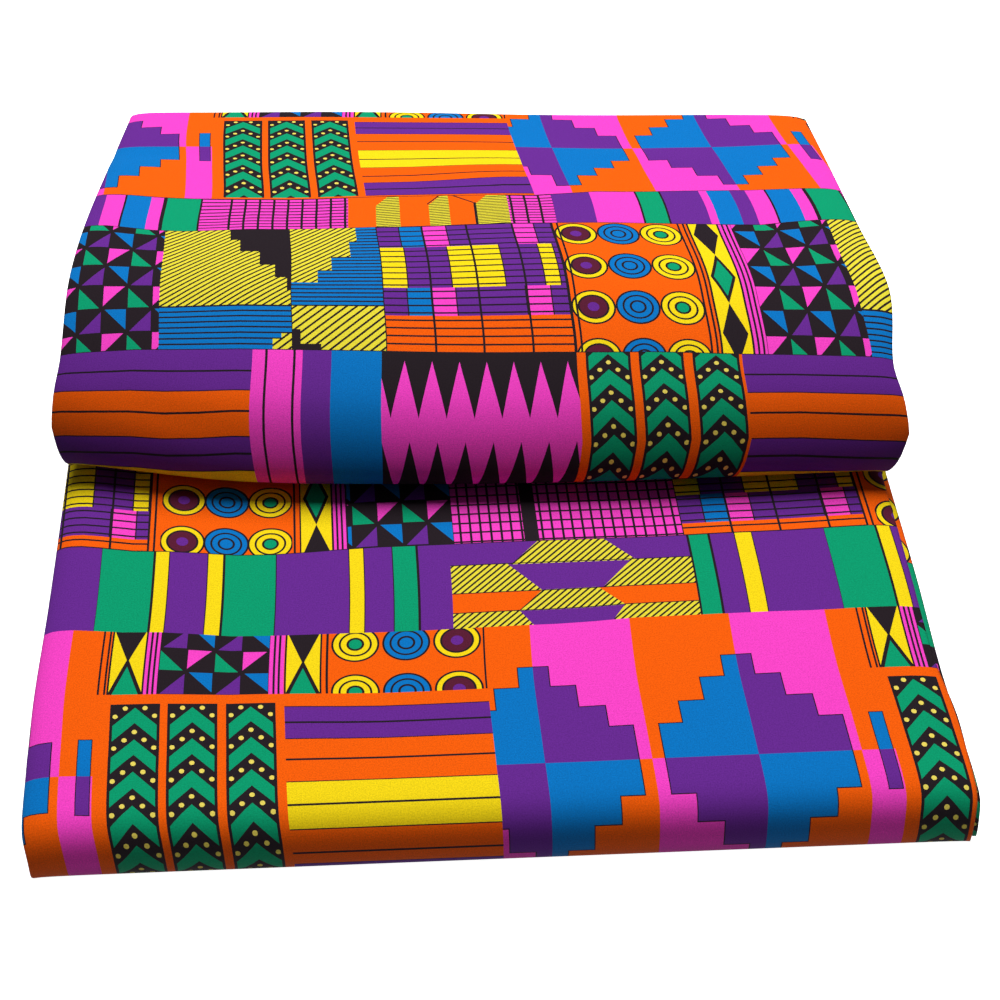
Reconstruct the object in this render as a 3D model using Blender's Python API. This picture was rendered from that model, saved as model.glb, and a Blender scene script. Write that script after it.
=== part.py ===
"""A length of printed cotton cloth, doubled along its length and folded back and forth into
two soft pads: a flat lower pad, and an upper pad set back on it with a thick round lip.
Metres, +Z up. The front is at -Y, and the origin is under the middle of the bottom."""

from collections import namedtuple
from math import cos, pi, sin

import bmesh
import bpy
import numpy as np

# Driving dimensions. "Along" is measured from the front of the lower pad towards the back.
SHEET = 0.0022  # both plies of the doubled cloth, with the air between them
DEPTH = 0.694  # front roll of the lower pad to the back folds
PAD_HEIGHT = 0.050  # the lower pad
LIP_FRONT = 0.2755  # the foremost line of the upper pad's lip
LIP_FOOT = 0.315  # where the lip has turned under and the pad's floor begins
CROWN = 0.416  # the upper pad's highest line
BACK = 0.685  # where the runs end and the back folds begin
INNER_FRONT = 0.306  # the inner folds inside the lip
LOWER_INNER_FRONT = 0.034  # the inner fold inside the front roll
UPPER_SKEW = 0.072  # the upper pad's lines run this much further back per metre to the left
LOWER_SKEW = 0.011  # and the lower pad's this much
LOWER_EDGE_SINK = 0.14  # the lower pad's side edges lie this share lower than its middle
UPPER_EDGE_SINK = 0.0038  # and the upper pad's this much
LEFT_TUCK = 0.011  # the upper pad's floor is narrower than its top
RIGHT_TUCK = 0.018
TUCK_TOP = 0.088  # the height above which nothing is tucked in
COLLAR = 0.110  # how far behind the lip the corners' setback fades out
SWELL = 0.0016  # the soft unevenness of the upper pad's top
SWELL_ACROSS = 0.33  # from one swell to the next
SWELL_ALONG = 0.47

Height = namedtuple("Height", "along z")
Side = namedtuple("Side", "along left right")
Station = namedtuple("Station", "share sink setback")
Run = namedtuple("Run", "pad share front heads steps")

FLOOR = SHEET / 2
LIP_FLOOR = 0.0537  # the upper pad's lowest layer, where it lies on the lower pad
UPPER_TOP_HEIGHT = 0.1342
LOWER_TOP = (
    Height(0.025, PAD_HEIGHT - SHEET / 2),
    Height(0.120, PAD_HEIGHT - 0.0004),
    Height(0.300, PAD_HEIGHT - 0.0010),
    Height(0.500, 0.0465),
    Height(BACK, 0.0430),
)
UPPER_FLOOR = (
    Height(0.295, 0.0562),
    Height(LIP_FOOT, LIP_FLOOR),
    Height(0.500, 0.0525),
    Height(BACK, 0.0510),
)
UPPER_TOP = (
    Height(0.295, 0.1020),
    Height(0.320, 0.1142),
    Height(0.345, 0.1225),
    Height(0.380, 0.1305),
    Height(CROWN, UPPER_TOP_HEIGHT),
    Height(0.456, 0.1315),
    Height(0.506, 0.1245),
    Height(0.586, 0.1125),
    Height(BACK, 0.0965),
)
# The lip's section, from the top run round the front to the pad's floor
LIP = (
    Height(0.312, 0.1110),
    Height(0.288, 0.0985),
    Height(LIP_FRONT, 0.0850),
    Height(0.2785, 0.0690),
    Height(0.2925, 0.0583),
)

# The pads seen from above: where the left and right edges lie
LOWER_SIDES = (
    Side(0.000, -0.2860, 0.2900),
    Side(0.015, -0.2895, 0.2930),
    Side(0.070, -0.2912, 0.2920),
    Side(0.120, -0.2920, 0.2902),
    Side(0.200, -0.2900, 0.2910),
    Side(0.310, -0.2890, 0.2900),
    Side(DEPTH, -0.2885, 0.2890),
)
UPPER_SIDES = (
    Side(0.275, -0.2915, 0.2945),
    Side(0.340, -0.2868, 0.2893),
    Side(0.418, -0.2848, 0.2980),
    Side(0.500, -0.2800, 0.2930),
    Side(0.584, -0.2720, 0.2890),
    Side(0.693, -0.2615, 0.2850),
)

# Across the cloth, from left to right: how far down an edge sinks, and how far the lip stands back
STATIONS = (
    Station(0.000, 1.00, 0.0200),
    Station(0.014, 0.42, 0.0180),
    Station(0.045, 0.07, 0.0140),
    Station(0.210, 0.00, -0.0005),
    Station(0.400, 0.00, -0.0020),
    Station(0.600, 0.00, 0.0015),
    Station(0.800, 0.00, 0.0085),
    Station(0.955, 0.07, 0.0155),
    Station(0.986, 0.42, 0.0180),
    Station(1.000, 1.00, 0.0200),
)

# The cloth's way through the fold, from its end inside the upper pad to its end in the lower one.
# Share is a run's place between its pad's floor and top.
RUNS = (
    Run("upper", 0.20, INNER_FRONT, "front", 10),
    Run("upper", 0.40, INNER_FRONT, "back", 10),
    Run("upper", 0.60, INNER_FRONT, "front", 10),
    Run("upper", 0.80, INNER_FRONT, "back", 12),
    Run("upper", 1.00, 0.345, "front", 17),
    Run("upper", 0.00, LIP_FOOT, "back", 9),
    Run("lower", 1.00, PAD_HEIGHT / 2, "front", 17),
    Run("lower", 0.00, PAD_HEIGHT / 2, "back", 5),
    Run("lower", 0.35, LOWER_INNER_FRONT, "front", 9),
    Run("lower", 0.68, LOWER_INNER_FRONT, "back", 9),
)
FREE_END = 0.022  # how far short of the back folds the cloth's own two ends stop
BACK_STAGGER = 0.004  # no two back folds end on the same line
STAGGERED = 3  # back folds before the stagger repeats
FRONT_FOLD_REACH = 0.7  # how far a fold swells out, against the gap that it closes
BACK_FOLD_REACH = 0.8
FOLD_STEPS = 6
ROLL_STEPS = 12  # round the lower pad's front
LIP_STEPS = 3  # between two points of the lip's section

PRINT_ORANGE = (1.0, 0.13, 0.0, 1.0)
COTTON_ROUGHNESS = 0.85


def smooth_through(rows, at, column):
    """A Catmull-Rom curve through one column of a short table, read at a place along it."""
    along = [row.along for row in rows]
    value = [getattr(row, column) for row in rows]
    at = min(max(at, along[0]), along[-1])
    k = min(int(np.searchsorted(along, at, side="right")) - 1, len(rows) - 2)
    left = max(k - 1, 0)
    right = min(k + 2, len(rows) - 1)
    span = along[k + 1] - along[k]
    slope_in = (value[k + 1] - value[left]) / (along[k + 1] - along[left])
    slope_out = (value[right] - value[k]) / (along[right] - along[k])
    t = (at - along[k]) / span
    near = (2 * t**3 - 3 * t**2 + 1) * value[k] + (t**3 - 2 * t**2 + t) * span * slope_in
    far = (3 * t**2 - 2 * t**3) * value[k + 1] + (t**3 - t**2) * span * slope_out
    return near + far


def height_in(pad, share, along):
    """The height of a layer that lies at a share of its pad's thickness."""
    if pad == "lower":
        floor = FLOOR
        top = smooth_through(LOWER_TOP, along, "z")
    else:
        floor = smooth_through(UPPER_FLOOR, along, "z")
        top = smooth_through(UPPER_TOP, along, "z")
    return floor + share * (top - floor)


def run_points(run, back):
    """One flat layer, from its front to its back or the other way, as (along, height)."""
    places = [run.front + (back - run.front) * i / run.steps for i in range(run.steps + 1)]
    if run.heads == "front":
        places.reverse()
    return [(along, height_in(run.pad, run.share, along)) for along in places]


def turn_points(start, end, reach, steps):
    """A round fold between two layers' ends, as the half ellipse that swells out by reach."""
    middle = ((start[0] + end[0]) / 2, (start[1] + end[1]) / 2)
    half = ((start[0] - end[0]) / 2, (start[1] - end[1]) / 2)
    angles = [pi * i / steps for i in range(1, steps)]
    return [
        (middle[0] + half[0] * cos(a) + reach * sin(a), middle[1] + half[1] * cos(a))
        for a in angles
    ]


def curve_between(points, per_span):
    """A smooth curve through points in the section, with its ends left out."""
    found = []
    for k in range(1, len(points) - 2):
        before, start, end, after = (np.array(points[k + j]) for j in (-1, 0, 1, 2))
        for i in range(per_span):
            t = i / per_span
            place = 0.5 * (
                2 * start
                + (end - before) * t
                + (2 * before - 5 * start + 4 * end - after) * t**2
                + (3 * start - before - 3 * end + after) * t**3
            )
            found.append(tuple(place))
    return found[1:]


def section():
    """The whole folded cloth seen from the side: (along, height, upper) for each point, where
    upper is 1 in the upper pad and 0 in the lower one."""
    layers = []
    for place, run in enumerate(RUNS):
        is_end = place in (0, len(RUNS) - 1)
        back = BACK - (FREE_END if is_end else BACK_STAGGER * (place % STAGGERED))
        layers.append(run_points(run, back))
    path = []
    for place, run in enumerate(RUNS):
        layer = layers[place]
        upper = 1.0 if run.pad == "upper" else 0.0
        path += [(along, z, upper) for along, z in layer]
        if place == len(RUNS) - 1:
            break
        after = layers[place + 1]
        next_upper = 1.0 if RUNS[place + 1].pad == "upper" else 0.0
        gap = abs(layer[-1][1] - after[0][1])
        if run.share == 1.0 and run.pad == "upper":
            lip = [layer[-2], layer[-1], *LIP, after[0], after[1]]
            bend = curve_between(lip, LIP_STEPS)
        elif run.share == 1.0:
            bend = turn_points(layer[-1], after[0], -gap / 2, ROLL_STEPS)
        elif run.heads == "front":
            bend = turn_points(layer[-1], after[0], -FRONT_FOLD_REACH * gap, FOLD_STEPS)
        else:
            bend = turn_points(layer[-1], after[0], BACK_FOLD_REACH * gap, FOLD_STEPS)
        count = len(bend) + 1
        for i, (along, z) in enumerate(bend):
            share = (i + 1) / count
            path.append((along, z, upper + (next_upper - upper) * share))
    return path


def ease(share):
    """From 0 to 1 with a soft start and end."""
    share = min(max(share, 0.0), 1.0)
    return share * share * (3 - 2 * share)


def placed(along, z, upper, station):
    """A point of the cloth in space, from its place in the section and across the cloth."""
    tuck = upper * ease((TUCK_TOP - z) / (TUCK_TOP - LIP_FLOOR))
    edges = []
    for side, inwards in (("left", LEFT_TUCK), ("right", -RIGHT_TUCK)):
        low = smooth_through(LOWER_SIDES, along, side)
        high = smooth_through(UPPER_SIDES, along, side)
        edges.append(low + (high - low) * upper + inwards * tuck)
    x = edges[0] + (edges[1] - edges[0]) * station.share
    setback = station.setback * ease(1.0 - (along - LIP_FRONT) / COLLAR)
    skew = LOWER_SKEW + upper * (UPPER_SKEW - LOWER_SKEW)
    y = along + upper * setback - skew * x
    sink = (1 - upper) * LOWER_EDGE_SINK * (z - FLOOR) + upper * UPPER_EDGE_SINK
    swell = SWELL * sin(2 * pi * (x / SWELL_ACROSS + along / SWELL_ALONG))
    swell *= upper * max(z - LIP_FLOOR, 0.0) / (UPPER_TOP_HEIGHT - LIP_FLOOR)
    return (x, y, z - sink * station.sink + swell)


def cotton():
    """Matt printed cotton, in the print's main colour."""
    material = bpy.data.materials.new("printed_cotton")
    material.use_nodes = True
    shader = material.node_tree.nodes["Principled BSDF"]
    shader.inputs["Base Color"].default_value = PRINT_ORANGE
    shader.inputs["Roughness"].default_value = COTTON_ROUGHNESS
    shader.inputs["Metallic"].default_value = 0.0
    return material


def folded_cloth():
    """The one solid: a sheet through the section's points at every station, given its thickness."""
    bm = bmesh.new()
    points = np.array(
        [[placed(along, z, upper, station) for station in STATIONS] for along, z, upper in section()]
    )
    lowest = points.reshape(-1, 3).min(axis=0)
    highest = points.reshape(-1, 3).max(axis=0)
    middle = (lowest + highest) / 2
    middle[2] = 0.0
    rows = [[bm.verts.new(point) for point in row] for row in points - middle]
    for row, after in zip(rows, rows[1:]):
        for k in range(len(STATIONS) - 1):
            bm.faces.new((row[k], row[k + 1], after[k + 1], after[k]))
    mesh = bpy.data.meshes.new("ankara_cloth")
    bm.to_mesh(mesh)
    bm.free()
    cloth = bpy.data.objects.new("ankara_cloth", mesh)
    bpy.context.scene.collection.objects.link(cloth)
    mesh.materials.append(cotton())
    mesh.shade_smooth()
    thickness = cloth.modifiers.new("thickness", "SOLIDIFY")
    thickness.thickness = SHEET
    thickness.offset = 0.0
    return cloth


for old in list(bpy.data.objects):
    bpy.data.objects.remove(old)
folded_cloth()
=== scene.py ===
"""The looks of a folded length of printed cotton cloth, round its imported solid. Metres, +Z up."""

from collections import namedtuple
from math import cos, pi, radians, sin

import bmesh
import bpy
import numpy as np
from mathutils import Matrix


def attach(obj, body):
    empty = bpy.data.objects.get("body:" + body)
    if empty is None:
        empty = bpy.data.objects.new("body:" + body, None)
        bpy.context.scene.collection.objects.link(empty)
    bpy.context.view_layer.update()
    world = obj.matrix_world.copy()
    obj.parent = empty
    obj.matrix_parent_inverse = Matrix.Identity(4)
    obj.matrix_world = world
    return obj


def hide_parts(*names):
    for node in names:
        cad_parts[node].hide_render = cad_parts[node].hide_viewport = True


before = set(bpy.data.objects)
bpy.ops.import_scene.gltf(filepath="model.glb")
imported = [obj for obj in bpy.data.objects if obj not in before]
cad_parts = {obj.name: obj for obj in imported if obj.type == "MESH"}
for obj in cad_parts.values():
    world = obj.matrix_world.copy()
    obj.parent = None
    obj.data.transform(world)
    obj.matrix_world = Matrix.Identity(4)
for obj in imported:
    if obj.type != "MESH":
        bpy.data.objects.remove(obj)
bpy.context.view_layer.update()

# The camera
# It looks down at the folded cloth from the front, a little turned to the right, as the photograph
# was taken: from 1.6 m away with a long lens.
CAMERA_PLACE = (-0.0519, -1.1482, 1.0792)
CAMERA_DOWN = radians(43.7)
CAMERA_TURN = radians(3.4)
LENS_MM = 77.6
SENSOR_MM = 36.0

camera_data = bpy.data.cameras.new("camera")
camera_data.lens = LENS_MM
camera_data.sensor_width = SENSOR_MM
camera_data.clip_end = 50.0
camera = bpy.data.objects.new("camera", camera_data)
bpy.context.scene.collection.objects.link(camera)
camera.location = CAMERA_PLACE
camera.rotation_euler = (pi / 2 - CAMERA_DOWN, 0.0, -CAMERA_TURN)
bpy.context.scene.camera = camera

# The cloth: how it is folded
# One length of cotton, 1.17 m wide and printed all over, is doubled along its length, with the
# fold at the left and the two selvedges at the right. It is then folded back and forth into a flat
# lower pad and an upper pad with a thick round lip. "Along" is measured from the front to the back.
FOLDED_WIDTH = 0.585
PLY = 0.0005
TOP_PLY_OUT = 0.0008  # the printed side of the top ply, from the middle of the doubled cloth
UNDER_PLY_OUT = 0.0030
INNER_PUFF = 0.0022  # how much further apart the plies are inside the pads
INNER_UNDER = 0.5  # how much nearer the under ply is there
PUFF_OVER = 0.03  # the length of path over which the plies part
FLOOR = 0.0011
DEPTH = 0.694
BACK = 0.685
PAD_HEIGHT = 0.050
LOWER_INNER_FRONT = 0.034
INNER_FRONT = 0.306
LIP_FRONT = 0.2755
LIP_FOOT = 0.315
LIP_FLOOR = 0.0537
CROWN = 0.416
UPPER_TOP_HEIGHT = 0.1342
LOWER_SKEW = 0.011
UPPER_SKEW = 0.072
LOWER_EDGE_SINK = 0.14  # a share of the height
UPPER_EDGE_SINK = 0.0038
LEFT_TUCK = 0.011  # how far the upper pad's sides draw in at its foot
RIGHT_TUCK = 0.018
TUCK_TOP = 0.092
COLLAR = 0.110  # how far back the lip's set-back corners reach
SWELL = 0.0016
SWELL_ACROSS = 0.33
SWELL_ALONG = 0.47

Height = namedtuple("Height", "along z")
Side = namedtuple("Side", "along left right")
Station = namedtuple("Station", "share sink setback")
Run = namedtuple("Run", "pad share front heads steps")

LOWER_TOP = (
    Height(0.025, 0.0489),
    Height(0.120, 0.0496),
    Height(0.300, 0.0490),
    Height(0.500, 0.0465),
    Height(BACK, 0.0430),
)
UPPER_FLOOR = (
    Height(0.295, 0.0562),
    Height(LIP_FOOT, LIP_FLOOR),
    Height(0.500, 0.0525),
    Height(BACK, 0.0510),
)
UPPER_TOP = (
    Height(0.295, 0.1020),
    Height(0.320, 0.1142),
    Height(0.345, 0.1225),
    Height(0.380, 0.1305),
    Height(CROWN, UPPER_TOP_HEIGHT),
    Height(0.456, 0.1315),
    Height(0.506, 0.1245),
    Height(0.586, 0.1125),
    Height(BACK, 0.0965),
)
LIP = (
    Height(0.3185, 0.1125),
    Height(0.3030, 0.1015),
    Height(0.2915, 0.0880),
    Height(0.2845, 0.0730),
    Height(0.2895, 0.0600),
)
LOWER_SIDES = (
    Side(0.000, -0.2860, 0.2900),
    Side(0.015, -0.2895, 0.2930),
    Side(0.070, -0.2912, 0.2920),
    Side(0.120, -0.2920, 0.2902),
    Side(0.200, -0.2900, 0.2910),
    Side(0.310, -0.2890, 0.2900),
    Side(DEPTH, -0.2885, 0.2890),
)
UPPER_SIDES = (
    Side(0.275, -0.2965, 0.3000),
    Side(0.310, -0.2915, 0.2945),
    Side(0.345, -0.2866, 0.2893),
    Side(0.418, -0.2848, 0.2980),
    Side(0.500, -0.2800, 0.2930),
    Side(0.584, -0.2720, 0.2890),
    Side(0.693, -0.2615, 0.2850),
)
STATIONS = (
    Station(0.000, 1.00, 0.0200),
    Station(0.014, 0.42, 0.0180),
    Station(0.045, 0.07, 0.0140),
    Station(0.210, 0.00, -0.0005),
    Station(0.400, 0.00, -0.0020),
    Station(0.600, 0.00, 0.0015),
    Station(0.800, 0.00, 0.0085),
    Station(0.955, 0.07, 0.0155),
    Station(0.986, 0.42, 0.0180),
    Station(1.000, 1.00, 0.0200),
)
RUNS = (
    Run("upper", 0.20, INNER_FRONT, "front", 10),
    Run("upper", 0.40, INNER_FRONT, "back", 10),
    Run("upper", 0.60, INNER_FRONT, "front", 10),
    Run("upper", 0.80, INNER_FRONT, "back", 12),
    Run("upper", 1.00, 0.345, "front", 17),
    Run("upper", 0.00, LIP_FOOT, "back", 9),
    Run("lower", 1.00, PAD_HEIGHT / 2, "front", 17),
    Run("lower", 0.00, PAD_HEIGHT / 2, "back", 5),
    Run("lower", 0.35, LOWER_INNER_FRONT, "front", 9),
    Run("lower", 0.68, LOWER_INNER_FRONT, "back", 9),
)
FREE_END = 0.022
BACK_STAGGER = 0.004
STAGGERED = 3
FRONT_FOLD_REACH = 0.7
BACK_FOLD_REACH = 0.8
FOLD_STEPS = 6
ROLL_STEPS = 12
LIP_STEPS = 3


def smooth_curve(keys, values, at):
    """A Catmull-Rom curve through values at their keys, read at every place in at."""
    keys = np.array(keys, float)
    values = np.array(values, float)
    at = np.clip(at, keys[0], keys[-1])
    k = np.clip(np.searchsorted(keys, at, side="right") - 1, 0, len(keys) - 2)
    before = np.maximum(k - 1, 0)
    after = np.minimum(k + 2, len(keys) - 1)
    span = keys[k + 1] - keys[k]
    slope_in = (values[k + 1] - values[before]) / (keys[k + 1] - keys[before]) * span
    slope_out = (values[after] - values[k]) / (keys[after] - keys[k]) * span
    t = (at - keys[k]) / span
    near = (2 * t**3 - 3 * t**2 + 1) * values[k] + (t**3 - 2 * t**2 + t) * slope_in
    far = (3 * t**2 - 2 * t**3) * values[k + 1] + (t**3 - t**2) * slope_out
    return near + far


def read_table(rows, at, column):
    """One column of a short table, read smoothly by the table's first column."""
    return smooth_curve([row[0] for row in rows], [getattr(row, column) for row in rows], at)


def ease(share):
    """From 0 to 1 with a soft start and end."""
    share = np.clip(share, 0.0, 1.0)
    return share * share * (3 - 2 * share)


def run_points(run, back):
    """One flat layer, from its front to its back or the other way, as (along, height)."""
    along = np.linspace(run.front, back, run.steps + 1)
    if run.heads == "front":
        along = along[::-1]
    if run.pad == "lower":
        floor = FLOOR
        top = read_table(LOWER_TOP, along, "z")
    else:
        floor = read_table(UPPER_FLOOR, along, "z")
        top = read_table(UPPER_TOP, along, "z")
    return list(zip(along, floor + run.share * (top - floor)))


def turn_points(start, end, reach, steps):
    """A round fold between two layers' ends, as the half ellipse that swells out by reach."""
    middle = ((start[0] + end[0]) / 2, (start[1] + end[1]) / 2)
    half = ((start[0] - end[0]) / 2, (start[1] - end[1]) / 2)
    angles = [pi * i / steps for i in range(1, steps)]
    return [
        (middle[0] + half[0] * cos(a) + reach * sin(a), middle[1] + half[1] * cos(a))
        for a in angles
    ]


def lip_points(points, per_span):
    """The lip's section as a smooth curve through its table, with its ends left out."""
    found = []
    for k in range(1, len(points) - 2):
        before, start, end, after = (np.array(points[k + j]) for j in (-1, 0, 1, 2))
        slope = end - before
        bend = 2 * before - 5 * start + 4 * end - after
        twist = 3 * start - before - 3 * end + after
        for i in range(per_span):
            t = i / per_span
            found.append((2 * start + slope * t + bend * t**2 + twist * t**3) / 2)
    return [tuple(place) for place in found[1:]]


def fold_path():
    """The folded cloth seen from the side: along, height and upper for each point, where upper is
    1 in the upper pad and 0 in the lower one, and the point where each layer starts."""
    layers = []
    for place, run in enumerate(RUNS):
        is_end = place in (0, len(RUNS) - 1)
        back = BACK - (FREE_END if is_end else BACK_STAGGER * (place % STAGGERED))
        layers.append(run_points(run, back))
    path = []
    starts = []
    for place, run in enumerate(RUNS):
        layer = layers[place]
        upper = 1.0 if run.pad == "upper" else 0.0
        starts.append(len(path))
        path += [(along, z, upper) for along, z in layer]
        if place == len(RUNS) - 1:
            break
        after = layers[place + 1]
        next_upper = 1.0 if RUNS[place + 1].pad == "upper" else 0.0
        gap = abs(layer[-1][1] - after[0][1])
        if run.share == 1.0 and run.pad == "upper":
            bend = lip_points([layer[-2], layer[-1], *LIP, after[0], after[1]], LIP_STEPS)
        elif run.share == 1.0:
            bend = turn_points(layer[-1], after[0], -gap / 2, ROLL_STEPS)
        elif run.heads == "front":
            bend = turn_points(layer[-1], after[0], -FRONT_FOLD_REACH * gap, FOLD_STEPS)
        else:
            bend = turn_points(layer[-1], after[0], BACK_FOLD_REACH * gap, FOLD_STEPS)
        for i, (along, z) in enumerate(bend):
            share = (i + 1) / (len(bend) + 1)
            path.append((along, z, upper + (next_upper - upper) * share))
    return np.array(path), starts


UPPER_TOP_RUN = 4
FIRST_LOWER_INNER_RUN = 8
path, run_starts = fold_path()
path_at = np.concatenate([[0.0], np.cumsum(np.hypot(*np.diff(path[:, :2], axis=0).T))])
cloth_length = path_at[-1]
upper_top_from = path_at[run_starts[UPPER_TOP_RUN]]
lower_bottom_to = path_at[run_starts[FIRST_LOWER_INNER_RUN]]


def inner_share(at):
    """1 where the cloth is hidden inside the pads, 0 where it shows."""
    return ease((upper_top_from - at) / PUFF_OVER) + ease((at - lower_bottom_to) / PUFF_OVER)


def section_of(share, at):
    """The middle of the doubled cloth, at a share of its folded width and a place on its path."""
    along, z, upper = (smooth_curve(path_at, column, at) for column in path.T)
    tuck = upper * np.clip((TUCK_TOP - z) / (TUCK_TOP - LIP_FLOOR), 0.0, 1.0)
    edges = []
    for side, inwards in (("left", LEFT_TUCK), ("right", -RIGHT_TUCK)):
        low = read_table(LOWER_SIDES, along, side)
        high = read_table(UPPER_SIDES, along, side)
        edges.append(low + (high - low) * upper + inwards * tuck)
    x = edges[0] + (edges[1] - edges[0]) * share
    setback = read_table(STATIONS, share, "setback") * ease(1.0 - (along - LIP_FRONT) / COLLAR)
    sink_share = read_table(STATIONS, share, "sink")
    skew = LOWER_SKEW + upper * (UPPER_SKEW - LOWER_SKEW)
    y = along + upper * setback - skew * x
    sink = (1 - upper) * LOWER_EDGE_SINK * (z - FLOOR) + upper * UPPER_EDGE_SINK
    swell = SWELL * np.sin(2 * pi * (x / SWELL_ACROSS + along / SWELL_ALONG))
    swell *= upper * np.maximum(z - LIP_FLOOR, 0.0) / (UPPER_TOP_HEIGHT - LIP_FLOOR)
    return np.stack([x, y, z - sink * sink_share + swell], 1)


# At the right, the top ply stops short of the under ply by this much, by the place on the path
Short = namedtuple("Short", "at short")
TOP_PLY_SHORT = (
    Short(2.40, 0.0),
    Short(2.70, 0.0055),
    Short(2.85, 0.0070),
    Short(2.97, 0.0060),
    Short(3.02, 0.0020),
    Short(3.06, 0.0035),
    Short(3.12, 0.0040),
    Short(3.18, 0.0),
)

# The soft creases: where each lies on the flat cloth, its turn in radians, its size and its rise
Crease = namedtuple("Crease", "across at turn long wide rise")
CREASES = (
    Crease(0.085, 1.955, 0.35, 0.045, 0.009, -0.0014),
    Crease(0.520, 1.800, 1.40, 0.060, 0.012, -0.0012),
    Crease(0.060, 3.040, 0.17, 0.070, 0.010, 0.0008),
    Crease(0.510, 2.900, 1.30, 0.080, 0.010, -0.0009),
    Crease(0.040, 1.640, 0.00, 0.060, 0.012, -0.0012),
    Crease(0.440, 1.640, 0.09, 0.070, 0.014, 0.0010),
)
SLOPE_STEP = 0.0005


def doubled(across, at):
    """Where a point of the printed side lies. across is 0 on the lengthwise fold, positive on the
    top ply and negative on the under ply; at is the place on the path."""
    top = across > 0
    open_out = TOP_PLY_OUT + INNER_PUFF * inner_share(at)
    under_out = UNDER_PLY_OUT * (1 - INNER_UNDER * inner_share(at))
    radius = (open_out + under_out) / 2
    from_fold = np.abs(across)
    bend = np.minimum(from_fold / radius, pi / 2)
    flat = np.maximum(from_fold - radius * pi / 2, 0.0)
    width = FOLDED_WIDTH - radius * (pi / 2 - 1)
    share = (radius * (1 - np.cos(bend)) + flat) / width
    short = read_table(TOP_PLY_SHORT, at, "short") / FOLDED_WIDTH
    share = np.where(top, share * (1 - short), share)
    lift = (open_out - under_out) / 2 + np.where(top, 1.0, -1.0) * radius * np.sin(bend)
    middle = section_of(share, at)
    ahead = section_of(share, at + SLOPE_STEP) - section_of(share, at - SLOPE_STEP)
    right = section_of(np.minimum(share + SLOPE_STEP, 1.0), at)
    left = section_of(np.maximum(share - SLOPE_STEP, 0.0), at)
    normal = np.cross(ahead, right - left)
    normal /= np.linalg.norm(normal, axis=1)[:, None]
    for crease in CREASES:
        off_across = across - crease.across
        off_at = at - crease.at
        aside = off_across * cos(crease.turn) + off_at * sin(crease.turn)
        away = off_at * cos(crease.turn) - off_across * sin(crease.turn)
        lift = lift + crease.rise * np.exp(-((aside / crease.long) ** 2) - (away / crease.wide) ** 2)
    return middle + normal * lift[:, None]


PATH_STEP_SHOWN = 0.008
PATH_STEP_HIDDEN = 0.022
PATH_STEP_LEAST = 0.0012
BEND_A_STEP = 0.18  # radians
SHOWN_BEFORE_TOP = 0.02
SHOWN_PAST_BOTTOM = 0.05
ACROSS_EDGE = (0.0, 0.0015, 0.003, 0.005, 0.008, 0.013, 0.02, 0.032)
ACROSS_FIRST = 0.055
ACROSS_LAST = 0.05
ACROSS_STEP = 0.024


def path_lines():
    """Where the flat cloth gets a row of points: close together where it bends or shows."""
    heading = np.arctan2(*np.gradient(path[:, :2], path_at, axis=0).T)
    bend = np.abs(np.gradient(np.unwrap(heading), path_at))
    places = [0.0]
    while places[-1] < cloth_length:
        here = places[-1]
        shown = upper_top_from - SHOWN_BEFORE_TOP < here < lower_bottom_to + SHOWN_PAST_BOTTOM
        curve = np.interp(here, path_at, bend)
        step = PATH_STEP_SHOWN if shown else PATH_STEP_HIDDEN
        places.append(here + min(step, max(BEND_A_STEP / max(curve, 1e-6), PATH_STEP_LEAST)))
    places[-1] = cloth_length
    return np.array(places)


between_edges = np.arange(ACROSS_FIRST, FOLDED_WIDTH - ACROSS_LAST, ACROSS_STEP)
half = np.concatenate([ACROSS_EDGE, between_edges, FOLDED_WIDTH - np.array(ACROSS_EDGE[::-1])])
columns = np.concatenate([-half[:0:-1], half])
rows = path_lines()

# The print
# A wax print in the kente manner, in ten inks and seven rows of blocks, each with its own pattern.
# It repeats every 491 mm across and 720 mm along. x runs across and y along, in millimetres.
REPEAT_X = 491.0
REPEAT_Y = 720.0
FIRST_REPEAT = 1714.0  # where a repeat starts along the cloth
LIP_SLIP = 14.0  # how much closer together the print lies under the lip
LIP_SLIP_FROM = 2.0
LIP_SLIP_OVER = 0.08
ROW_TOPS = (0.0, 45.0, 187.0, 312.0, 438.0, 516.0, 569.0)
INK_STRENGTH = 0.86
INKS = {
    "orange": (255, 98, 0),
    "pink": (255, 70, 205),
    "purple": (106, 42, 149),
    "blue": (0, 120, 200),
    "green": (0, 160, 112),
    "yellow": (255, 224, 20),
    "straw": (240, 225, 60),
    "cream": (246, 226, 100),
    "plum": (92, 28, 52),
    "black": (38, 29, 35),
}

# How far the print has moved across and towards the front, by the place on the cloth. The columns
# are named for their distance from the lengthwise fold.
Shift = namedtuple("Shift", "at u0 u120 u290 u470 u580")
SHIFT_PLACES = (0, 120, 290, 470, 580)
ACROSS_SHIFTS = (
    Shift(1.570, 29, 34, 35, 38, 40),
    Shift(1.610, 32, 38, 39, 42, 44),
    Shift(1.660, 42, 43, 45, 49, 51),
    Shift(1.715, 49, 50, 52, 56, 58),
    Shift(1.760, 51, 52, 54, 56.5, 57.5),
    Shift(1.800, 53, 55, 57, 57.5, 54.5),
    Shift(1.850, 54.5, 57, 60, 60, 57.5),
    Shift(1.900, 56, 60, 65, 67, 66),
    Shift(1.950, 58, 60.5, 64, 65.5, 66),
    Shift(2.010, 61, 61.5, 62, 63.5, 64),
    Shift(2.600, 0, 0, 0, 0.5, 1),
    Shift(2.930, 0, 0, 0, 1, 2),
    Shift(3.030, 1, 0.5, 0, 2, 3.5),
    Shift(3.130, 3, 2, 1, 3, 4.5),
)
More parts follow.
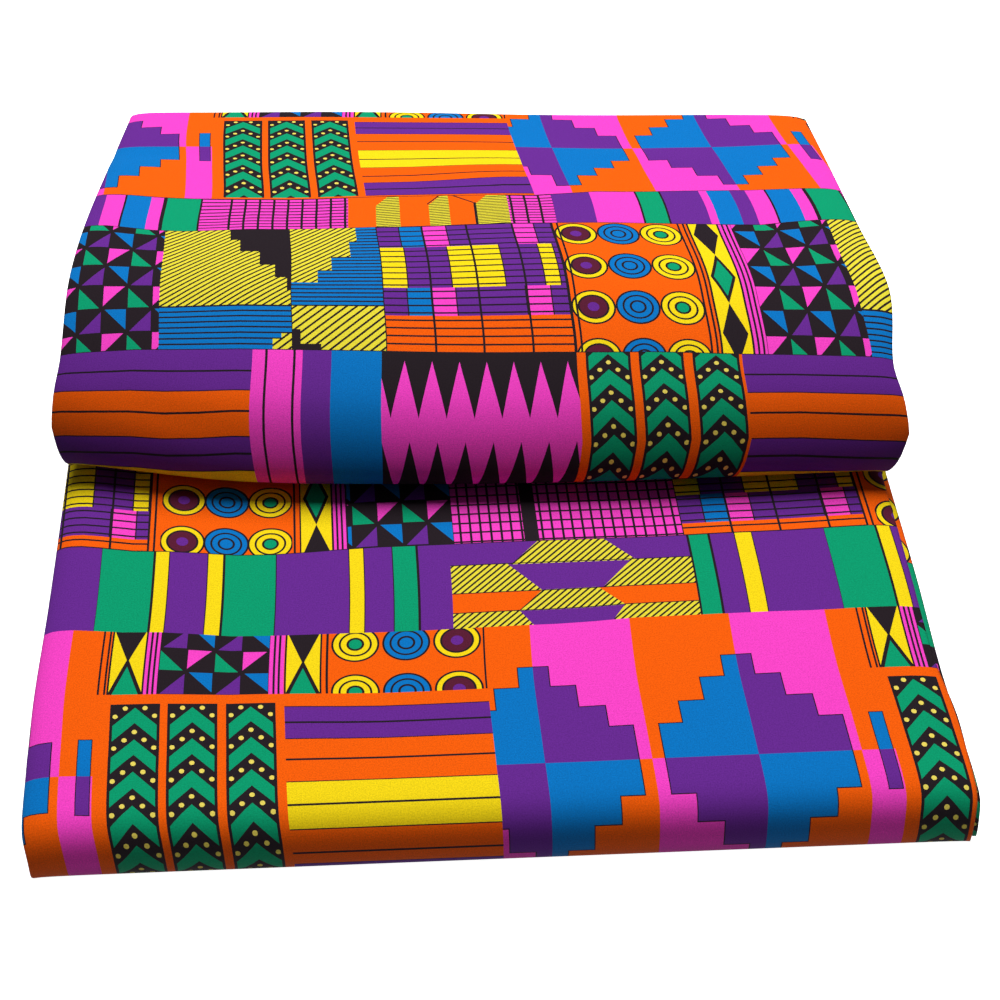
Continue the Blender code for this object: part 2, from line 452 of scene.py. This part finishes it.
Drift = namedtuple("Drift", "at u0 u70 u140 u230 u340 u400 u490 u580")
DRIFT_PLACES = (0, 70, 140, 230, 340, 400, 490, 580)
DOWN_DRIFTS = (
    Drift(1.560, 25, 14, 13, 14, 12, 14, 12, 8),
    Drift(1.580, 15, 9, 9, 10, 7, 8, 5, -1),
    Drift(1.609, 7, 4, 5, 5, 3, 3, 0, -7),
    Drift(1.640, 0, 0, 2, 2, -1, 0, -5, -11),
    Drift(1.680, -7, -3, 1, 0, -11, -13, -16.5, -20),
    Drift(1.715, -1, 4, 3, -1, -2, -10, -15, -20),
    Drift(1.759, 3, 14, 6, 1, -3, -5, -6, -15),
    Drift(1.901, 8, 4, 2, 1, 1, 2, 5, 5),
    Drift(1.960, 8, 3, -3, 0, 0, 1, 2, 6),
    Drift(2.010, 7, 2, -4, 0, 0, 1, 3, 8),
    Drift(2.600, -12, -2, 5, 1, 0, 0, -2, -5),
    Drift(2.872, -12, -2, 5, 1, 0, 0, -2, -5),
    Drift(2.950, -11, -6, 1, 2, 0, -4, -5, -6),
    Drift(3.003, -6, -4, -2, 1, 0, -2, -4, -5),
    Drift(3.065, -5, -1, 0, 0, 0, 0, 0, 0),
)
UNDER_SHIFT = 229.0  # how far the under ply's print has moved across at the selvedge
UNDER_SHIFT_FROM = 30.0
UNDER_SHIFT_OVER = 520.0
UNDER_DRIFT = 30.0
UNDER_DRIFT_OVER = 40.0


def columns_at(table, places, at, from_fold):
    """A table's values in the two columns on either side of each point, and how far between."""
    values = np.stack([read_table(table, at, name) for name in table[0]._fields[1:]])
    before = np.clip(np.searchsorted(places, from_fold) - 1, 0, len(places) - 2)
    starts = np.array(places, float)
    part = (from_fold - starts[before]) / (starts[before + 1] - starts[before])
    each = np.arange(len(at))
    return values[before, each], values[before + 1, each], np.clip(part, 0, 1)


def print_place(across, at):
    """Where points of the flat cloth lie in the print, as x and y in millimetres."""
    from_fold = np.abs(across) * 1000
    short = read_table(TOP_PLY_SHORT, at, "short") / FOLDED_WIDTH
    from_fold *= np.where(across > 0, 1 - short, 1.0)
    left, right, part = columns_at(ACROSS_SHIFTS, SHIFT_PLACES, at, from_fold)
    shift = left + (right - left) * part
    left, right, part = columns_at(DOWN_DRIFTS, DRIFT_PLACES, at, from_fold)
    drift = left + (right - left) * ease(part)
    under = across < 0
    under_x = UNDER_SHIFT * ease((from_fold - UNDER_SHIFT_FROM) / UNDER_SHIFT_OVER) - from_fold
    x = np.where(under, under_x, from_fold) - shift
    y = at * 1000 - FIRST_REPEAT + LIP_SLIP * ease((at - LIP_SLIP_FROM) / LIP_SLIP_OVER) - drift
    y -= np.where(under, UNDER_DRIFT * ease(from_fold / UNDER_DRIFT_OVER), 0)
    return x, y


class Value:
    """A socket of a material, so that shader maths can be written as Python expressions."""

    def __init__(self, tree, socket):
        self.tree = tree
        self.socket = socket

    def node(self, kind, settings, inputs, output=0):
        """A node of this kind: its settings come first, then its sockets' values or links."""
        node = self.tree.nodes.new("ShaderNode" + kind)
        for name, setting in settings.items():
            setattr(node, name, setting)
        for name, value in inputs.items():
            if isinstance(value, Value):
                self.tree.links.new(value.socket, node.inputs[name])
            else:
                node.inputs[name].default_value = value
        return Value(self.tree, node.outputs[output])

    def math(self, operation, *values):
        return self.node("Math", {"operation": operation}, dict(enumerate(values)))

    def __add__(self, other):
        return self.math("ADD", self, other)

    def __sub__(self, other):
        return self.math("SUBTRACT", self, other)

    def __rsub__(self, other):
        return self.math("SUBTRACT", other, self)

    def __mul__(self, other):
        return self.math("MULTIPLY", self, other)

    def __truediv__(self, other):
        return self.math("DIVIDE", self, other)

    def __mod__(self, other):
        return self.math("FLOORED_MODULO", self, other)

    def __lt__(self, other):
        return self.math("LESS_THAN", self, other)

    def __gt__(self, other):
        return self.math("GREATER_THAN", self, other)

    def __abs__(self):
        return self.math("ABSOLUTE", self)

    __radd__ = __add__
    __rmul__ = __mul__

    def between(self, low, high):
        return self.math("COMPARE", self, (low + high) / 2, (high - low) / 2)

    def either(self, other):
        return self.math("MAXIMUM", self, other)


def colour_of(ink):
    """An ink as the linear colour that a material takes."""
    parts = [((part / 255 + 0.055) / 1.055) ** 2.4 * INK_STRENGTH for part in INKS[ink]]
    return (*parts, 1.0)


PINWHEEL_GAP = 0.08  # a share of the cell, as black between the triangles
PINWHEEL_EDGE = 0.465
CHEVRON_PITCH = 24.6
CHEVRON_GREEN = 12.0
CHEVRON_EDGE = 1.8
CHEVRONS_FROM = -9.5
DOT_PITCH = 6.2
DOT_DOWN = 18.9
DOT_SQUARE = 2.7  # the dots' radius, squared
LOZENGE_HALF_WIDE = 9.0
LOZENGE_HALF_TALL = 27.0
LOZENGE_GREEN = 0.74
HOURGLASS_SLOPE = 0.37
GRID_PITCH = 7.1
GRID_WIDE = 130
GRID_UPRIGHTS = (0, 34, 67, 101, 130)


class PrintRow:
    """A row of the print as a material. Blocks are painted one after another, later ones on top."""

    def __init__(self, name, left, ground):
        self.material = bpy.data.materials.new("print_row_" + name)
        self.material.use_nodes = True
        self.tree = self.material.node_tree
        place = Value(self.tree, None).node("UVMap", {"uv_map": "print"}, {})
        x = place.node("SeparateXYZ", {}, {0: place}, 0) * 1000
        self.x = (x - left) % REPEAT_X + left
        self.y = place.node("SeparateXYZ", {}, {0: place}, 1) * 1000
        self.colour = colour_of(ground)

    def paint(self, ink, mask):
        sockets = {0: mask, 6: self.colour, 7: colour_of(ink)}
        self.colour = mask.node("Mix", {"data_type": "RGBA"}, sockets, 2)

    def area(self, left, right, top, bottom):
        return self.x.between(left, right) * self.y.between(top, bottom)

    def block(self, ink, left, right, top, bottom):
        self.paint(ink, self.area(left, right, top, bottom))

    def bars(self, start, ends, mask=None):
        """Upright bars side by side, each as an ink and the place where it ends."""
        for ink, end in ends:
            bar = self.x.between(start, end)
            self.paint(ink, bar if mask is None else bar * mask)
            start = end

    def bands(self, left, right, start, ends):
        """Level bands one under another in a block, each as an ink and the place where it ends."""
        for ink, end in ends:
            self.block(ink, left, right, start, end)
            start = end

    def upright_lines(self, places, width=1.1, mask=None):
        for place in places:
            line = self.x.between(place - width / 2, place + width / 2)
            self.paint("black", line if mask is None else line * mask)

    def level_lines(self, left, right, places, width=1.1):
        for place in places:
            self.block("black", left, right, place - width / 2, place + width / 2)

    def ruling(self, mask, pitch, width, slope_x, slope_y, start=0.0):
        """Fine black lines at an even pitch. The slopes say how fast the count grows in x and y."""
        count = (self.x * slope_x + self.y * slope_y - start) % pitch
        self.paint("black", mask * (count < width))

    def pinwheels(self, mask, left, top, wide, tall):
        """Right-angled triangles on black, in fours that turn about a point."""
        x = (self.x - left) / wide
        y = (self.y - top) / tall
        right = (x % 2) > 1.0
        lower = (y % 2) > 1.0
        x = x % 1.0
        y = y % 1.0
        falling = x - y
        rising = x + y - 1.0
        self.paint("black", mask)
        inner = mask * (abs(x - 0.5).either(abs(y - 0.5)) < PINWHEEL_EDGE)
        upper_cells = inner * (1.0 - lower)
        lower_cells = inner * lower
        self.paint("blue", upper_cells * (1.0 - right) * (falling > PINWHEEL_GAP))
        self.paint("purple", upper_cells * right * (rising > PINWHEEL_GAP))
        self.paint("pink", lower_cells * (1.0 - right) * (rising < -PINWHEEL_GAP))
        self.paint("green", lower_cells * right * (falling < -PINWHEEL_GAP))

    def chevrons(self, left, right, top, bottom, apex):
        """A strip of green chevrons that point up, with cream dots on the black between them."""
        mask = self.area(left, right, top, bottom)
        across = abs(self.x - (left + right) / 2)
        down = (self.y - apex - across) % CHEVRON_PITCH
        started = self.y - across > top + CHEVRONS_FROM
        self.paint("black", mask)
        self.paint("green", mask * (down < CHEVRON_GREEN) * started)
        aside = (across + DOT_PITCH / 2) % DOT_PITCH - DOT_PITCH / 2
        below = down - DOT_DOWN + aside
        self.paint("cream", mask * (aside * aside + below * below < DOT_SQUARE))
        self.upright_lines((left + 0.5, right - 0.5), CHEVRON_EDGE, self.y.between(top, bottom))

    def circles(self, mask, left, top, wide, tall, kinds):
        """Rows of ringed discs, with one kind of disc in each column."""
        column = (self.x - left) / wide
        across = (column % 1.0 - 0.5) * wide
        down = ((self.y - top) / tall % 1.0 - 0.5) * tall
        square = across * across + down * down
        out = square.math("SQRT", square)
        for place, kind in enumerate(kinds):
            this = mask * column.between(place, place + 1)
            for ink, radius in DISCS[kind]:
                self.paint(ink, this * (out < radius * DISC_RADIUS))

    def lozenges(self, left, right, top, bottom, centre):
        """A yellow strip of tall lozenges, black and green in turn."""
        mask = self.area(left, right, top, bottom)
        self.paint("yellow", mask)
        count = (self.y - centre + LOZENGE_HALF_TALL) / (LOZENGE_HALF_TALL * 2)
        down = abs((count % 1.0 - 0.5) * 2.0)
        out = abs(self.x - (left + right) / 2) / LOZENGE_HALF_WIDE + down
        self.paint("black", mask * (out < 1.0))
        self.paint("green", mask * (out < LOZENGE_GREEN) * ((count % 2.0) > 1.0))

    def hourglass(self, left, right, top, bottom, waist):
        """A yellow strip with a black triangle pointing down on a green one pointing up."""
        mask = self.area(left, right, top, bottom)
        self.paint("yellow", mask)
        across = abs(self.x - (left + right) / 2)
        down = self.y - waist
        self.paint("black", mask * (across < abs(down) * HOURGLASS_SLOPE + 0.7))
        self.paint("green", mask * (across < down * HOURGLASS_SLOPE - 2.0))
        self.upright_lines((left, right), 1.2, self.y.between(top, bottom))

    def grid_block(self, left, top, bottom):
        """Cells of four inks in rows, ruled with black like weaving."""
        mask = self.area(left, left + GRID_WIDE, top, bottom)
        for start, end, cells in GRID_CELLS:
            row = mask * self.y.between(top + start, top + end)
            self.bars(left, [(ink, left + place) for ink, place in cells], row)
            self.upright_lines([left + place for ink, place in cells], 0.9, row)
        self.ruling(mask, GRID_PITCH, 1.5, 0.0, 1.0, top)
        self.upright_lines([left + place for place in GRID_UPRIGHTS], 1.6, mask)

    def finish(self):
        """The row's colour goes into the shader, with the cloth's grain over it."""
        place = Value(self.tree, None).node("UVMap", {"uv_map": "cloth"}, {})
        grain = place.node("TexNoise", {}, {"Vector": place, "Scale": GRAIN_SCALE, "Detail": 2.0})
        long_way = place.node("Mapping", {}, {"Vector": place, "Scale": (YARN_FINE, YARN_LONG, 1.0)})
        slub = place.node("TexNoise", {}, {"Vector": long_way, "Scale": 1.0, "Detail": 2.0})
        wide_way = place.node("Mapping", {}, {"Vector": place, "Scale": (YARN_LONG, YARN_FINE, 1.0)})
        weft = place.node("TexNoise", {}, {"Vector": wide_way, "Scale": 1.0, "Detail": 2.0})
        tone = 0.46 + grain * 0.84 + slub * 0.12 + weft * 0.12
        over = {"data_type": "RGBA", "blend_type": "MULTIPLY"}
        colour = tone.node("Mix", over, {0: 1.0, 6: self.colour, 7: tone}, 2)
        height = grain * 0.5 + slub * 0.5 + weft * 0.5
        relief = {"Strength": 0.35, "Distance": YARN_RELIEF, "Height": height}
        bump = height.node("Bump", {}, relief)
        shader = self.tree.nodes["Principled BSDF"]
        shader.inputs["Roughness"].default_value = 0.88
        shader.inputs["Specular IOR Level"].default_value = 0.08
        shader.inputs["Sheen Weight"].default_value = 0.0
        self.tree.links.new(colour.socket, shader.inputs["Base Color"])
        self.tree.links.new(bump.socket, shader.inputs["Normal"])
        return self.material


GRAIN_SCALE = 1100.0
YARN_FINE = 900.0
YARN_LONG = 160.0
YARN_RELIEF = 0.0002
DISC_RADIUS = 15.6
DISCS = {
    "plum": (("black", 1.0), ("yellow", 0.91), ("black", 0.71), ("plum", 0.62), ("purple", 0.26)),
    "blue": (
        ("black", 1.0), ("blue", 0.91), ("black", 0.7), ("blue", 0.61), ("black", 0.38), ("blue", 0.28),
    ),
    "yellow": (
        ("black", 1.0), ("yellow", 0.91), ("black", 0.69), ("yellow", 0.6), ("black", 0.37), ("green", 0.27),
    ),
}
GRID_CELLS = (
    (0, 31, (("purple", 17), ("blue", 34), ("pink", 52), ("purple", 101), ("pink", 117), ("purple", 130))),
    (
        31, 82,
        (("yellow", 18), ("purple", 49), ("yellow", 87), ("purple", 115), ("yellow", 126), ("purple", 130)),
    ),
    (82, 110, (("purple", 17), ("blue", 34), ("pink", 51), ("purple", 100), ("pink", 118), ("purple", 130))),
    (110, 142, (("orange", 130),)),
)

# Row one: bars, two ruled pink blocks and three hatched bars with pointed tops
bars_row = PrintRow("bars", 8, "pink")
bars_row.bars(
    8,
    (
        ("green", 36), ("pink", 147), ("orange", 168), ("straw", 186), ("orange", 208), ("straw", 223.5),
        ("orange", 243), ("straw", 268), ("pink", 302), ("purple", 332), ("pink", 367), ("green", 387),
        ("purple", 417), ("pink", 423), ("blue", 441), ("purple", 453), ("pink", 469), ("blue", 488),
        ("pink", 499),
    ),
)
ruled = bars_row.x.between(36, 147).either(bars_row.x.between(268, 302))
bars_row.ruling(ruled, 4.5, 1.4, 0.0, 1.0)
bars_row.ruling(bars_row.x.between(56, 147), 10.8, 1.8, 1.0, 0.0, 57.5)
bars_row.ruling(bars_row.x.between(268, 302), 10.8, 1.8, 1.0, 0.0, 269.5)
hatched = bars_row.x.between(168, 186).either(bars_row.x.between(208, 223.5))
hatched = hatched.either(bars_row.x.between(243, 268))
bars_row.ruling(hatched, 2.5, 1.0, 0.08, 1.0)
for start in (168, 208, 243):
    corner = bars_row.x.between(start - 0.5, start + 10)
    bars_row.paint("orange", corner * (bars_row.y < 14.0 - (bars_row.x - start) * 1.4))
falling = abs(bars_row.y - (bars_row.x - 227) * 0.75) < 0.8
bars_row.paint("black", bars_row.x.between(227, 242) * falling)
rising = abs(bars_row.y - 13.0 + (bars_row.x - 207) * 1.3) < 0.9
bars_row.paint("black", bars_row.x.between(207, 217) * rising)
bars_row.upright_lines((243,), 2.0, bars_row.y.between(11, 45))
bars_row.upright_lines((8.6, 35.6, 367.6, 386.5, 468.5, 498.3), 1.5)

# Row two: pinwheels, the hatched steps, the ruled grid, the discs, a lozenge strip
steps_row = PrintRow("steps", -61, "black")
steps_row.pinwheels(steps_row.x.between(-61, 12.5), -61.2, 53.7, 17.15, 23.3)
steps_row.block("straw", 12.5, 103, 45, 146)
steps_row.ruling(steps_row.area(12.5, 103, 45, 146), 5.2, 1.9, 0.88, 1.0)
for wide, bottom in ((43, 62), (36, 80), (22, 99), (11, 115), (2.5, 130)):
    steps_row.block("black", 103 - wide, 104, 45, bottom)
steps_row.block("blue", 103.6, 167, 45, 146)
steps_row.ruling(steps_row.area(103.6, 167, 45, 146), 4.4, 1.5, 0.0, 1.0)
upper_steps = steps_row.area(103.6, 152, 45, 66)
for right, bottom in ((146, 88), (132, 106), (122, 121)):
    upper_steps = upper_steps.either(steps_row.area(103.6, right, 45, bottom))
steps_row.paint("straw", upper_steps)
steps_row.ruling(upper_steps, 5.2, 1.9, 0.88, 1.0)
steps_row.block("blue", 12.5, 103, 146, 187)
steps_row.ruling(steps_row.area(12.5, 103, 146, 187), 5.2, 1.5, 0.0, 1.0)
low_steps = steps_row.area(96, 103, 173, 187).either(steps_row.area(90, 103, 178, 187))
wide_hatch = low_steps.either(steps_row.area(103.6, 167, 146, 187))
steps_row.paint("straw", wide_hatch)
steps_row.ruling(wide_hatch, 7.0, 2.2, 1.0, 1.0)
steps_row.block("black", 103, 109, 169, 187)
steps_row.block("black", 103, 123, 182, 187)
steps_row.level_lines(11, 167, (146,), 1.0)
steps_row.grid_block(167, 45, 187)
steps_row.block("orange", 298, 398, 45, 187)
disc_block = steps_row.area(298, 394, 45, 187)
steps_row.circles(disc_block, 297.6, 40.5, 31.2, 43.0, ("plum", "blue", "yellow"))
steps_row.upright_lines((297.5, 301.5, 391, 395), 1.5)
steps_row.lozenges(398, 420, 45, 187, 61)
steps_row.block("pink", 420, 430, 45, 187)
steps_row.upright_lines((398, 420.4, 424, 427.6), 1.5)

# Row three: banded blocks, bars, a row of spikes and three chevron strips
spikes_row = PrintRow("spikes", -79.5, "orange")
spikes_row.bands(-79.5, 76.5, 187, (("purple", 222), ("orange", 256), ("purple", 280), ("yellow", 312)))
spikes_row.level_lines(-79.5, 76.5, (206, 238, 268), 1.6)
spikes_row.level_lines(-79.5, 76.5, (222, 256, 280), 0.8)
spikes_row.bars(76.5, (("pink", 110.5), ("purple", 130), ("blue", 164), ("pink", 297.5)))
spikes_row.upright_lines((86, 105), 1.7)
spikes_block = spikes_row.x.between(164, 297.5)
points = abs((spikes_row.x - 170.2) % 18.6 - 9.3) / 9.3
spikes_row.paint("black", spikes_block * (spikes_row.y < points * 44.0 + 195.0))
points = abs((spikes_row.x - 173.0) % 18.6 - 9.3) / 9.3
spikes_row.paint("black", spikes_block * (spikes_row.y > points * 40.0 + 255.0))
for left, right in ((304, 334), (340.5, 370.5), (377.5, 409)):
    spikes_row.chevrons(left, right, 187, 312, 177.0)

# Row four: the ruled grid, the discs, a lozenge strip, pinwheels and two wide ruled pink blocks
grid_row = PrintRow("grid", -61, "pink")
grid_row.grid_block(-61, 317, 438)
grid_row.block("orange", 66, 170, 312, 438)
disc_block = grid_row.area(70, 166, 312, 438)
grid_row.circles(disc_block, 74, 325.5, 30.0, 41.0, ("plum", "blue", "yellow"))
grid_row.upright_lines((66, 70, 165.5, 169.7), 1.5)
grid_row.lozenges(170, 191, 312, 438, 331)
grid_row.upright_lines((191.5, 194.7, 198, 201.5), 1.4)
grid_row.pinwheels(grid_row.x.between(202, 274), 187.7, 372.0, 17.3, 22.0)
ruled = grid_row.x.between(274, 430)
grid_row.ruling(ruled, 9.0, 1.6, 0.0, 1.0, 4.0)
grid_row.ruling(ruled, 7.0, 1.6, 1.0, 0.0, 5.0)
grid_row.block("black", 322, 332, 312, 438)

# Row five: wide bars and a block of hatched hexagons
hexagon_row = PrintRow("hexagons", 35, "purple")
hexagon_row.bars(
    35,
    (
        ("green", 70.5), ("yellow", 81), ("purple", 107), ("yellow", 117.5), ("green", 153), ("purple", 202),
        ("yellow", 212), ("purple", 231), ("green", 248), ("purple", 432), ("green", 447), ("purple", 464.5),
        ("yellow", 476.5), ("purple", 526),
    ),
)
hexagon_row.upright_lines((35, 81, 107, 153, 202, 212, 231.3, 464.5, 476.5), 0.7)
hexagon_row.upright_lines((71, 118, 248, 432.5, 447), 1.7)
hexagon_row.block("orange", 270, 432, 485, 502.5)
down = hexagon_row.y
opening = abs(hexagon_row.x - 353.0) < (down - 437.0) * 0.93 + 21.0
hexagons = hexagon_row.area(270, 432, 437, 460) * opening
closing = abs(hexagon_row.x - 350.0) > 60.5 - (down - 437.0) * 0.84
hexagons = hexagons.either(hexagon_row.area(270, 432, 459, 485) * closing)
across = abs(hexagon_row.x - 348.5)
opening = across < (down - 485.0) * 0.91 + 19.0
hexagons = hexagons.either(hexagon_row.area(270, 432, 484.5, 503) * opening)
closing = across > 35.0 - (down - 502.5) * 0.66
hexagons = hexagons.either(hexagon_row.area(270, 432, 502.5, 516) * closing)
hexagon_row.paint("straw", hexagons)
hexagon_row.ruling(hexagons, 5.0, 1.9, 1.0, 1.0)
hexagon_row.level_lines(270, 432, (459, 485, 502.5), 0.8)

# Row six: hourglass strips round the pinwheels, the discs, and the top of the stepped diamonds
hourglass_row = PrintRow("hourglass", 22, "orange")
hourglass_row.upright_lines((43, 47), 1.3)
hourglass_row.hourglass(49, 71, 516, 569, 541)
hourglass_row.bars(71.6, (("pink", 80), ("black", 151), ("pink", 160.5)))
hourglass_row.upright_lines((74.3, 77.4, 154.2, 157.4), 1.4)
hourglass_row.pinwheels(hourglass_row.x.between(80, 151), 62.2, 510.5, 17.8, 19.6)
hourglass_row.hourglass(161.4, 184, 516, 569, 541)
disc_block = hourglass_row.x.between(189, 290)
hourglass_row.circles(disc_block, 189.6, 505.0, 33.0, 42.0, ("yellow", "blue", "plum"))
hourglass_row.upright_lines((188, 289.6), 1.6)

# Row seven: chevron strips, a banded block and the stepped diamonds
diamonds_row = PrintRow("diamonds", 22, "orange")
diamonds_row.block("pink", 22, 42.5, 631.6, 720)
diamonds_row.block("black", 32.4, 41.6, 603.4, 660.6)
diamonds_row.block("blue", 33, 41, 604, 631.6)
diamonds_row.block("purple", 33, 41, 631.6, 660)
for left, right in ((52, 82.5), (88, 118.5), (124.7, 155)):
    diamonds_row.chevrons(left, right, 576.6, 718, 579.4)
diamonds_row.bands(
    161, 290, 580, (("purple", 606), ("orange", 639), ("yellow", 671), ("orange", 697), ("purple", 718))
)
diamonds_row.level_lines(161, 290, (593, 622, 656, 686, 708), 1.5)
diamonds_row.level_lines(161, 290, (580, 606, 639, 671, 697, 718), 0.7)
# The stepped diamonds stand in rows six and seven. Their quarters change ink at the middle.
DIAMOND_PITCH = 130.4
DIAMOND_LEFT = 254.4
DIAMOND_MIDDLE = 631.6
DIAMOND_LINE = 0.7
STEPS = ((57, 26.5), (42, 43.5), (25.5, 61.5), (9.5, 78.5))


def stepped(across, down, grow):
    """The stepped diamond, grown all round by a line's width."""
    found = None
    for half_wide, half_tall in STEPS:
        step = (abs(across) < half_wide + grow) * (abs(down) < half_tall + grow)
        found = step if found is None else found.either(step)
    return found


for row in (hourglass_row, diamonds_row):
    field = row.x.between(290, 513)
    across = (row.x - DIAMOND_LEFT) % DIAMOND_PITCH - DIAMOND_PITCH / 2
    down = row.y - DIAMOND_MIDDLE
    changed = abs((across > 0.0) - (down > 0.0))
    row.paint("orange", field)
    row.paint("pink", field * changed)
    diamond = field * stepped(across, down, 0.0)
    row.paint("black", field * stepped(across, down, DIAMOND_LINE))
    row.paint("blue", diamond)
    row.paint("purple", diamond * changed)
for row, top in zip((bars_row, steps_row, spikes_row, grid_row, hexagon_row), ROW_TOPS):
    row.paint("black", row.y < top + 0.7)
print_rows = [bars_row, steps_row, spikes_row, grid_row, hexagon_row, hourglass_row, diamonds_row]

# The cloth's mesh
# The length of cotton is made flat, in the print's own millimetres, and cut along the rows of the
# print, so that each face takes one row's material. Then it is folded and given its thickness.
REPEATS = range(-3, 5)
flat = bmesh.new()
across_layer = flat.verts.layers.float.new("across")
along_layer = flat.verts.layers.float.new("along")
flat_across = np.tile(columns, len(rows))
flat_along = np.repeat(rows, len(columns))
print_x, print_y = print_place(flat_across, flat_along)
grid = []
for place in range(len(flat_across)):
    vertex = flat.verts.new((print_x[place], print_y[place], 0.0))
    vertex[across_layer] = flat_across[place]
    vertex[along_layer] = flat_along[place]
    grid.append(vertex)
wide = len(columns)
for r in range(len(rows) - 1):
    for k in range(wide - 1):
        start = r * wide + k
        flat.faces.new((grid[start], grid[start + 1], grid[start + wide + 1], grid[start + wide]))
row_lines = [repeat * REPEAT_Y + top for repeat in REPEATS for top in ROW_TOPS]
for line in row_lines:
    if not print_y.min() < line < print_y.max():
        continue
    near = []
    for face in flat.faces:
        heights = [vertex.co.y for vertex in face.verts]
        if min(heights) < line < max(heights):
            near.append(face)
    parts = [part for face in near for part in (*face.verts, *face.edges)]
    parts = list(dict.fromkeys(parts)) + near
    bmesh.ops.bisect_plane(flat, geom=parts, dist=1e-4, plane_co=(0, line, 0), plane_no=(0, 1, 0))
flat.normal_update()
print_uv = flat.loops.layers.uv.new("print")
cloth_uv = flat.loops.layers.uv.new("cloth")
for face in flat.faces:
    middle_y = sum(vertex.co.y for vertex in face.verts) / len(face.verts)
    repeat = middle_y // REPEAT_Y
    in_repeat = middle_y - repeat * REPEAT_Y
    face.material_index = sum(top <= in_repeat for top in ROW_TOPS) - 1
    face.smooth = True
    for corner in face.loops:
        vertex = corner.vert
        corner[print_uv].uv = (vertex.co.x / 1000, (vertex.co.y - repeat * REPEAT_Y) / 1000)
        corner[cloth_uv].uv = (vertex[across_layer], vertex[along_layer])
folded = doubled(
    np.array([vertex[across_layer] for vertex in flat.verts], float),
    np.array([vertex[along_layer] for vertex in flat.verts], float),
)
cloth_mesh = bpy.data.meshes.new("printed_cloth")
flat.to_mesh(cloth_mesh)
flat.free()
sections = [section_of(np.full(len(path_at), station.share), path_at) for station in STATIONS]
outermost = np.concatenate(sections)
middle = (outermost.min(0) + outermost.max(0)) / 2
middle[2] = 0.0
folded -= middle
cloth_mesh.vertices.foreach_set("co", folded.astype(np.float32).ravel())
cloth_mesh.update()
cloth = bpy.data.objects.new("printed_cloth", cloth_mesh)
bpy.context.scene.collection.objects.link(cloth)
thickness = cloth.modifiers.new("ply", "SOLIDIFY")
thickness.thickness = PLY
thickness.offset = 1.0
for row in print_rows:
    cloth_mesh.materials.append(row.finish())
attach(cloth, "root")
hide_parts("ankara_cloth")

# The floor
# A sheet of white paper under and behind the cloth. It glows a little, so that it stays white, and
# throws no light on the cloth, so that the undersides stay dark.
FLOOR_HALF = 6.0
FLOOR_DOWN = -0.0003
PAPER_WHITE = (0.93, 0.93, 0.93, 1.0)

floor_mesh = bpy.data.meshes.new("floor")
floor_corners = [
    (-FLOOR_HALF, -FLOOR_HALF, FLOOR_DOWN),
    (FLOOR_HALF, -FLOOR_HALF, FLOOR_DOWN),
    (FLOOR_HALF, FLOOR_HALF, FLOOR_DOWN),
    (-FLOOR_HALF, FLOOR_HALF, FLOOR_DOWN),
]
floor_mesh.from_pydata(floor_corners, [], [(0, 1, 2, 3)])
floor = bpy.data.objects.new("floor", floor_mesh)
bpy.context.scene.collection.objects.link(floor)
paper = bpy.data.materials.new("white_paper")
paper.use_nodes = True
paper_shader = paper.node_tree.nodes["Principled BSDF"]
paper_shader.inputs["Base Color"].default_value = PAPER_WHITE
paper_shader.inputs["Roughness"].default_value = 0.9
paper_shader.inputs["Emission Color"].default_value = (1.0, 1.0, 1.0, 1.0)
paper_shader.inputs["Emission Strength"].default_value = 1.0
floor_mesh.materials.append(paper)
floor.visible_diffuse = False

# The light
# A wide soft lamp hangs over the cloth, a little behind it, and the white room fills the shadows.
# A faint one lies on the floor in front, as light thrown back on the foot of the front roll.
LAMP_PLACE = (0.2, 1.75, 3.9)
LAMP_TURN = (-0.42, 0.05, 0.0)
LAMP_WIDE = 2.6
LAMP_WATTS = 245.0
ROOM_LIGHT = 0.07
GLOW_BACK = -0.385
GLOW_UP = 0.002
GLOW_WIDE = 1.1
GLOW_DEEP = 0.3
GLOW_WATTS = 0.55

lamp_data = bpy.data.lights.new("lamp", "AREA")
lamp_data.size = LAMP_WIDE
lamp_data.energy = LAMP_WATTS
lamp = bpy.data.objects.new("lamp", lamp_data)
bpy.context.scene.collection.objects.link(lamp)
lamp.location = LAMP_PLACE
lamp.rotation_euler = LAMP_TURN
glow_data = bpy.data.lights.new("floor_glow", "AREA")
glow_data.shape = "RECTANGLE"
glow_data.size = GLOW_WIDE
glow_data.size_y = GLOW_DEEP
glow_data.energy = GLOW_WATTS
glow = bpy.data.objects.new("floor_glow", glow_data)
bpy.context.scene.collection.objects.link(glow)
glow.location = (0.0, GLOW_BACK - GLOW_DEEP / 2, GLOW_UP)
glow.rotation_euler = (pi, 0.0, 0.0)
glow.visible_camera = False
room = bpy.data.worlds.new("room")
room.use_nodes = True
room_shader = room.node_tree.nodes["Background"]
room_shader.inputs["Color"].default_value = (1.0, 1.0, 1.0, 1.0)
room_shader.inputs["Strength"].default_value = ROOM_LIGHT
bpy.context.scene.world = room
bpy.context.scene.view_settings.view_transform = "Standard"
